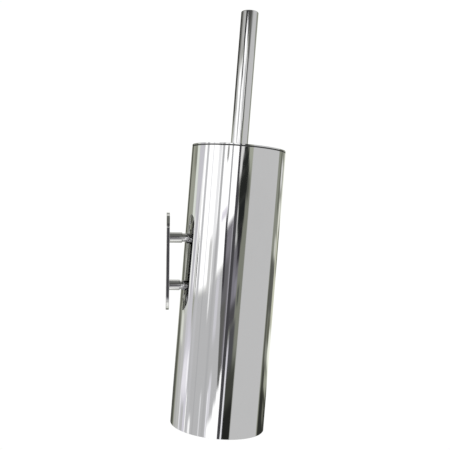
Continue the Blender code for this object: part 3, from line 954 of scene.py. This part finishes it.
# Soft cards all round the object, painted in order, all in degrees. Azimuth 0 is towards the
# camera and positive towards +X; elevation is above the horizon. The tone is the display tone
# that polished steel shows: a grey, or red, green and blue. A card with a lean moves by that
# many degrees of azimuth for each degree of elevation.
# (azimuth from, to, softness, elevation from, to, softness, tone, lean)
BELOW = -91
ABOVE = 91
ROOM_CARDS = (
    # ceiling and floor
    (-180, 180, 0.1, 18, ABOVE, 8, (98, 99, 95)),
    (110, 250, 20, 18, 40, 6, (192, 192, 186)),
    (110, 250, 20, 54, 76, 8, (206, 206, 202)),
    (-180, 180, 0.1, BELOW, -48, 20, (168, 168, 166)),
    # middle of the wall behind the object
    (172, 188, 12, -30, 18, 6, (184, 186, 178)),
)
# Dark ceiling edge over the camera, which both halves of the studio show.
CEILING_EDGE = (-14, 26, 8, 15, 32, 2, (78, 78, 77))
LEFT_CARDS = (
    # wall behind the object
    (-164, -151, 8, -30, 14, 4, (108, 109, 99)),
    (-166, -152, 5, -3, 14, 3, (76, 77, 69)),
    (-161, -144, 6, -30, -6, 3, (86, 87, 79)),
    (-184, -147, 6, -40, -11, 5, (78, 79, 72)),
    (-138, -122, 4, 7, 9, 1.5, (126, 127, 116)),
    (-186, -116, 6, 10.7, 30, 2, (62, 62, 58)),
    (-138, -120, 3, -40, -7.5, 1, (172, 172, 170)),
    (-138, -125, 4, -7.6, -4.8, 1, (208, 210, 202)),
    # side wall left of the window
    (-124.5, -113.5, 3, BELOW, 11, 3, (212, 216, 208)),
    (-124.5, -113.5, 3, BELOW, -4, 3, (182, 182, 180)),
    (-114, -96, 3, BELOW, 11.5, 3, (194, 193, 198)),
    (-103, -98, 3, 4, 12, 3, 226, 0.8),
    (-105, -90, 6, BELOW, -5, 4, (206, 204, 212)),
    (-94, -78, 5, -11, -7.5, 2.5, (228, 226, 232), 2),
    (-98, -93.5, 2, -10.5, -7.5, 1.5, (246, 245, 248)),
    (-107, -99, 3, -16, -11.5, 1, 180),
    (-112.8, -109.6, 1.6, -3, 3.6, 1.5, (246, 248, 242)),
    (-106.5, -103.5, 2, -3, 6, 2, (176, 175, 180), 0.5),
    (-100.4, -97.6, 1.6, -2, 4.5, 1.5, 248, 0.6),
    (-113.8, -111.4, 1.6, BELOW, -11, 1, (236, 236, 238)),
    # table and floor under the window
    (-92, -3, 4, BELOW, -2.5, 1.5, (180, 180, 181)),
    (-34, -27, 3, -8, -2.5, 2, (200, 199, 204)),
    (-33, -28, 2, -14.5, -11, 1.5, (212, 211, 216)),
    (-83, -75, 3, -20, -12.6, 1, 250),
    (-92, -89.6, 1.6, BELOW, -10.6, 1, 252),
    (-52.6, -49.8, 1.6, BELOW, -11.4, 1, (214, 214, 216)),
    (-35.2, -33, 1.6, BELOW, -12, 1, (236, 235, 240)),
    (-32, -16, 3, -50, -14.8, 1, 262),
    # ceiling left of the window, then the window with its sill and folds
    (-114, -96, 6, 10.5, 30, 2, (176, 176, 174)),
    (-114, -97, 6, 17, 30, 3, (106, 106, 102)),
    (-94, -3, 7, -2.4, 12.8, 1.2, 268),
    (-97, -80, 6, 13.4, 30, 2.5, (204, 204, 202)),
    (-97, -80, 6, 17, 30, 2.5, (164, 164, 161)),
    (-82, 1, 6, 6, 16.4, 2.4, 268),
    (-38, -14, 4, 14, 19, 1.4, 268),
    (-84, -50, 6, 17.4, 30, 2.5, (178, 178, 176)),
    (-59, -49, 3, -3, 1.6, 1.2, (200, 200, 199)),
    (-50, -36, 4, -3, 2, 3, (196, 196, 197)),
    (-34, -22, 3, 1.9, 2.7, 0.6, (214, 210, 220)),
    (-87.5, -81, 4, -40, 14, 2, (186, 186, 188)),
    (-69, -66.5, 2, -2.5, 14, 1, (226, 226, 228)),
    (-69, -66, 2, -20, -2.5, 1, (172, 172, 173)),
    (-53, -46, 3, 1, 14, 3, (232, 232, 233)),
    (-52, -49, 2, -5, 1.5, 2, 240),
    (-44, -38.5, 3, -20, 14, 2, (173, 173, 174)),
    (-32, -27.5, 2, 6.9, 8.4, 0.6, (140, 140, 138)),
    (-21, -17.4, 1.6, 1.2, 15, 1, (164, 164, 166)),
    (-54, -37, 4, 9.8, 16.2, 2, 176),
    (-11, 1, 4, 8.8, 13.8, 2, (178, 178, 180)),
    CEILING_EDGE,
    (-54, -33, 3, 17.5, 32, 1.2, (62, 62, 63)),
    (-36, -21, 3, 18.4, 32, 1, (66, 66, 67)),
    (-24, -12, 3, 17.3, 32, 1.2, (66, 66, 67)),
    (-15.4, -4.4, 2.4, 13.8, 19.4, 1.6, (8, 8, 10), -1.9),
    # dark screen beside the camera
    (-22.4, -2, 2, -7, 0.6, 1, (98, 97, 100), -0.45),
    (-23.9, -8.5, 2, -13.2, -6, 1, (92, 92, 90), -0.79),
    (-16.5, -5, 3, -2.4, 0.4, 1.5, (124, 121, 128)),
    (-22.4, -18, 2, -4.6, 1.9, 1.5, (58, 56, 60), -0.45),
    (-9, -6.4, 2, -11.5, -2, 1.5, (110, 108, 112)),
    (-6.6, -3, 1, -12.4, 0.4, 1, (154, 152, 158)),
    (-20, -5, 2, -50, -14, 0.8, 262),
    (-14, -5, 1.5, -50, -13.2, 0.8, 262),
    (-9, -5, 2, -50, -12.1, 0.8, 262),
)
RIGHT_CARDS = (
    CEILING_EDGE,
    # between the pole and the furniture
    (-1, 29, 2, -21, 14, 3, (122, 124, 114)),
    (19, 31, 5, 2.4, 14, 3, (158, 161, 148)),
    (-1, 12, 2, 3.2, 13.2, 1.8, (216, 216, 214)),
    (0, 5.5, 2, -2.5, 1.4, 1.2, 190, -0.8),
    (0, 14.5, 3, -8.5, -2.4, 1.5, (110, 108, 114)),
    (3.5, 8.5, 3, -7.2, -4.6, 1.5, (124, 122, 130)),
    (9, 14.5, 2, -7.2, -5.6, 0.8, (132, 130, 138)),
    (0, 14, 3, -9.4, -7.6, 1, (74, 73, 76)),
    (5, 17.5, 5, -14, -9.4, 1, (76, 76, 79)),
    (-1, 6.5, 1.6, -60, -10.6, 2.4, (208, 206, 214)),
    (1, 5.5, 1.6, -60, -12.6, 1.6, (226, 225, 230)),
    (2, 3.6, 1, -60, -15, 1.6, 252),
    (17, 21, 2, -8.3, -6.7, 0.8, (84, 86, 82)),
    # dark furniture
    (8, 16.5, 3, 4.6, 7.5, 1.4, (38, 39, 38)),
    (5.5, 20, 3, 3.2, 5, 1.2, (36, 38, 36)),
    (3.5, 22.5, 3, 0.8, 3.6, 1.2, (36, 38, 36)),
    (5, 19.5, 3, -1.4, 1.2, 1.2, (34, 36, 36)),
    (21, 25.5, 2.5, 0.2, 2.4, 1, (84, 86, 80)),
    (7.5, 17.5, 3, -2.8, -1, 1.2, (36, 36, 38)),
    (10, 15.5, 3, -4.4, -2.4, 1.2, (46, 44, 48)),
    (6.5, 25, 2.5, -30, -13, 2.4, (62, 63, 58)),
    (6, 24, 2.5, -30, -16.2, 1.6, (36, 36, 34)),
    # wide grey card on the right, and the darker edges above it
    (29, 111, 2.5, -60, 60, 20, 187, 0.19),
    (12, 25, 4, 6.4, 15, 1.5, 80),
    (25, 34, 4, 7.4, 12, 2, 172),
    (24, 35, 4, 11.2, 30, 2.4, (120, 120, 119)),
    (34, 45, 6, 13, 30, 2, 164),
    (99, 124, 6, 10.5, 30, 2.5, (146, 147, 141)),
    (132, 152, 6, 4.4, 9, 1.4, (226, 226, 222)),
    # wall behind the object
    (111, 152, 4, -30, 14, 3, (132, 134, 124)),
    (122, 128, 3, -2.2, 3.4, 1.2, (96, 98, 88)),
    (148, 176, 14, -30, 14, 3, (206, 207, 198)),
    (134, 160, 8, -10.6, -3, 2, (184, 185, 168)),
    (134, 172, 8, -14.2, -11.2, 1.5, (222, 224, 212)),
    (129, 140, 4, 0.1, 2.4, 1.2, (204, 204, 202)),
    (134, 144, 4, -3.4, -0.6, 1.2, (214, 214, 204)),
    (123, 134, 4, -6, -4.2, 1, (192, 193, 184)),
    (146, 160, 6, -6, -1.8, 1.6, (100, 102, 88)),
    (112, 137, 5, -10.8, -6.2, 1.5, (88, 89, 84)),
    (111, 119, 3, -15.4, -9, 1.4, (86, 87, 80)),
    (121, 136, 4, -13, -10.8, 1, (96, 97, 86)),
    (112, 168, 8, -40, -14.9, 1.5, (66, 67, 60)),
    (112, 150, 8, -40, -17.2, 1, (46, 47, 43)),
    (126, 148, 5, -16.6, -15, 0.8, (150, 152, 138)),
    (130, 142, 5, -19, -17.4, 0.8, (96, 97, 88)),
)
# The pole is a band along the circle that runs from the camera overhead to the back, so its
# azimuths are measured sideways from that circle.
POLE_CARDS = (
    (-4.2, 2.6, 1.6, -18, 3.2, 2, (70, 69, 72)),
    (-4.2, 0.4, 1, BELOW, 8.4, 1.5, (66, 65, 68)),
)
# Narrow strip beside the pole that only the posts and the plate's edge show; 90 is added to
# the sideways angle behind the object.
STRIP_CARDS = (
    (0.2, 1.6, 0.5, 7, 34, 3, (66, 65, 66)),
    (0.2, 1.5, 0.5, -20, -9, 3, (66, 65, 68)),
    (0.2, 2.2, 0.8, -33, -20, 5, (132, 131, 134)),
    (0.2, 2.2, 0.8, -58, -33, 6, (180, 180, 178)),
    (0.2, 2.2, 0.8, BELOW, -58, 6, (236, 236, 232)),
    (90.2, 92.2, 0.8, BELOW, -62, 6, (212, 213, 206)),
    (90.2, 92.2, 0.8, -62, -36, 8, (126, 128, 118)),
    (90.2, 92.2, 0.8, -36, -8, 8, (64, 65, 60)),
)
WALL_TONE = (148, 150, 138)  # wherever no card stands


def build_card_group():
    """Node group that paints one soft-edged card over a colour, by direction."""
    group = bpy.data.node_groups.new("Card", "ShaderNodeTree")
    names = ["Azimuth", "Elevation", "Centre", "Half Width", "Edge", "Low", "High", "Rise", "Lean"]
    for name in names:
        group.interface.new_socket(name, in_out="INPUT", socket_type="NodeSocketFloat")
    for name in ("Under", "Tone"):
        group.interface.new_socket(name, in_out="INPUT", socket_type="NodeSocketColor")
    group.interface.new_socket("Painted", in_out="OUTPUT", socket_type="NodeSocketColor")
    source = group.nodes.new("NodeGroupInput").outputs
    leaning = math_node(group, "MULTIPLY", source["Lean"], source["Elevation"])
    centre = math_node(group, "ADD", source["Centre"], leaning)
    away = math_node(group, "SUBTRACT", source["Azimuth"], centre)
    away = math_node(group, "ABSOLUTE", math_node(group, "WRAP", away, 180.0, -180.0))
    half_edge = math_node(group, "MULTIPLY", source["Edge"], 0.5)
    half_rise = math_node(group, "MULTIPLY", source["Rise"], 0.5)
    inside = soft_step(group, away, source["Half Width"], half_edge, falling=True)
    above = soft_step(group, source["Elevation"], source["Low"], half_rise, falling=False)
    below = soft_step(group, source["Elevation"], source["High"], half_rise, falling=True)
    share = math_node(group, "MULTIPLY", math_node(group, "MULTIPLY", above, below), inside)
    painted = colour_blend(group, share, source["Under"], source["Tone"])
    sink = group.nodes.new("NodeGroupOutput")
    group.links.new(painted, sink.inputs["Painted"])
    return group


def soft_step(tree, value, edge, half, falling):
    """Smooth step of a value across an edge."""
    lower = math_node(tree, "SUBTRACT", edge, half)
    upper = math_node(tree, "ADD", edge, half)
    ends = (1.0, 0.0) if falling else (0.0, 1.0)
    inputs = {"Value": value, "From Min": lower, "From Max": upper, "To Min": ends[0], "To Max": ends[1]}
    node = add_node(tree, "MapRange", inputs, interpolation_type="SMOOTHSTEP")
    return node.outputs["Result"]


def steel_light(tone):
    """Light that polished steel shows as a display tone, a grey or (red, green, blue)."""
    channels = tone if isinstance(tone, tuple) else (tone, tone, tone)
    return tuple(linear(channel) / STEEL_REFLECTANCE for channel in channels) + (1.0,)


def paint_cards(tree, group, painted, azimuth, elevation, cards):
    """Lay a table of cards over what is already painted, one after another."""
    for start, end, edge, low, high, rise, tone, *lean in cards:
        inputs = {
            "Azimuth": azimuth,
            "Elevation": elevation,
            "Centre": (start + end) / 2.0,
            "Half Width": (end - start) / 2.0,
            "Edge": edge,
            "Low": low,
            "High": high,
            "Rise": rise,
            "Lean": lean[0] if lean else 0.0,
            "Under": painted,
            "Tone": steel_light(tone),
        }
        painted = add_node(tree, "Group", inputs, node_tree=group).outputs["Painted"]
    return painted


def build_world():
    """Studio of soft cards that lights the object and shows in it; the camera sees white.

    Its left and right halves are two shaders, because one shader can't hold all the cards.
    """
    world = bpy.data.worlds.new("studio")
    bpy.context.scene.world = world
    world.use_nodes = True
    tree = world.node_tree
    tree.nodes.clear()
    direction = add_node(tree, "TexCoord").outputs["Generated"]
    x, y, z = add_node(tree, "SeparateXYZ", {"Vector": direction}).outputs
    toward = math_node(tree, "MULTIPLY", y, -1.0)
    azimuth = math_node(tree, "DEGREES", math_node(tree, "ARCTAN2", x, toward))
    elevation = math_node(tree, "DEGREES", math_node(tree, "ARCSINE", z))
    sideways = math_node(tree, "DEGREES", math_node(tree, "ARCSINE", x))
    behind = math_node(tree, "MULTIPLY", math_node(tree, "GREATER_THAN", y, 0.0), 90.0)
    meridian = math_node(tree, "ADD", sideways, behind)
    group = build_card_group()
    room = paint_cards(tree, group, steel_light(WALL_TONE), azimuth, elevation, ROOM_CARDS)
    halves = []
    for cards, strips in ((LEFT_CARDS, POLE_CARDS), (RIGHT_CARDS, POLE_CARDS + STRIP_CARDS)):
        half = paint_cards(tree, group, room, azimuth, elevation, cards)
        half = paint_cards(tree, group, half, meridian, elevation, strips)
        halves.append(add_node(tree, "Background", {"Color": half}).outputs[0])
    on_right = math_node(tree, "GREATER_THAN", azimuth, 0.0)
    studio = add_node(tree, "MixShader", {0: on_right, 1: halves[0], 2: halves[1]})
    white = add_node(tree, "Background", {"Color": (1.0, 1.0, 1.0, 1.0), "Strength": WHITE_LEVEL})
    seen = add_node(tree, "LightPath").outputs["Is Camera Ray"]
    mix = add_node(tree, "MixShader", {0: seen, 1: studio.outputs[0], 2: white.outputs[0]})
    output = add_node(tree, "OutputWorld")
    tree.links.new(mix.outputs[0], output.inputs["Surface"])


def build_floor():
    """Pale round floor well below the object, fading into the white background at its rim."""
    corners = [(FLOOR_RADIUS * ring / FLOOR_RINGS, 0.0, 0.0) for ring in range(FLOOR_RINGS + 1)]
    middle = (CAD_BOUNDS[0][0] + CAD_BOUNDS[1][0]) / 2.0
    place = Matrix.Translation((middle, 0.0, FLOOR_HEIGHT))
    floor = turned_piece("floor", corners, STEPS_ROUND, place)
    material, tree, shader = new_material("floor_pale")
    spot = add_node(tree, "TexCoord").outputs["Object"]
    distance = add_node(tree, "VectorMath", {0: spot}, operation="LENGTH").outputs["Value"]
    start, end = (FLOOR_RADIUS * share for share in FLOOR_FADE)
    fade = remap(tree, distance, start, end, 0.0, 1.0)
    grain = noise(tree, spot, 60.0, 4.0)
    tone = colour_blend(tree, grain, (0.86, 0.86, 0.86), (0.90, 0.90, 0.90))
    wire(tree, shader, Base_Color=tone)
    shader.inputs["Roughness"].default_value = 0.8
    glow = add_node(tree, "Emission", {"Color": (1.0, 1.0, 1.0, 1.0), "Strength": WHITE_LEVEL})
    mix = add_node(tree, "MixShader", {0: fade, 1: shader.outputs[0], 2: glow.outputs[0]})
    tree.links.new(mix.outputs[0], tree.nodes["Material Output"].inputs["Surface"])
    floor.data.materials.append(material)
    floor.visible_glossy = False


def build_lamp():
    """Wide soft lamp overhead for the floor, the plastics and the bristles."""
    data = bpy.data.lights.new("soft_top", "AREA")
    data.shape = "DISK"
    data.size = LAMP_SIZE
    data.energy = LAMP_POWER
    aim = Vector(LAMP_TARGET) - Vector(LAMP_PLACE)
    turn = aim.to_track_quat("-Z", "Y").to_matrix().to_4x4()
    lamp = new_object("soft_top", data, Matrix.Translation(LAMP_PLACE) @ turn)
    lamp.visible_glossy = False
    lamp.visible_camera = False


def build_camera():
    """Camera that sees the wall plate edge-on, level with the tube's upper half."""
    yaw, pitch, roll = map(math.radians, (CAMERA_YAW, CAMERA_PITCH, CAMERA_ROLL))
    forward = Vector((math.sin(yaw) * math.cos(pitch), math.cos(yaw) * math.cos(pitch), math.sin(pitch)))
    right = Vector((math.cos(yaw), -math.sin(yaw), 0.0))
    up = right.cross(forward)
    rolled_right = right * math.cos(roll) + up * math.sin(roll)
    rolled_up = up * math.cos(roll) - right * math.sin(roll)
    turn = Matrix((rolled_right, rolled_up, -forward)).transposed().to_4x4()
    data = bpy.data.cameras.new("camera")
    data.sensor_width = CAMERA_SENSOR
    data.lens = CAMERA_LENS
    data.shift_x = CAMERA_SHIFT_X
    camera = new_object("camera", data, Matrix.Translation(CAMERA_PLACE) @ turn)
    bpy.context.scene.camera = camera


build_camera()
build_plate()
for post_side in ("upper", "lower"):
    build_post(post_side)
    build_spacer(post_side)
    build_washer(post_side)
    build_plate_screw(post_side)
    build_tube_screw(post_side)
build_tube()
build_base()
build_liner()
build_lid()
build_spigot()
build_collar()
build_handle()
build_cap()
build_adapter()
build_core()
build_side_bristles()
build_tip_bristles()
build_world()
build_floor()
build_lamp()
bpy.context.scene.view_settings.view_transform = "Standard"
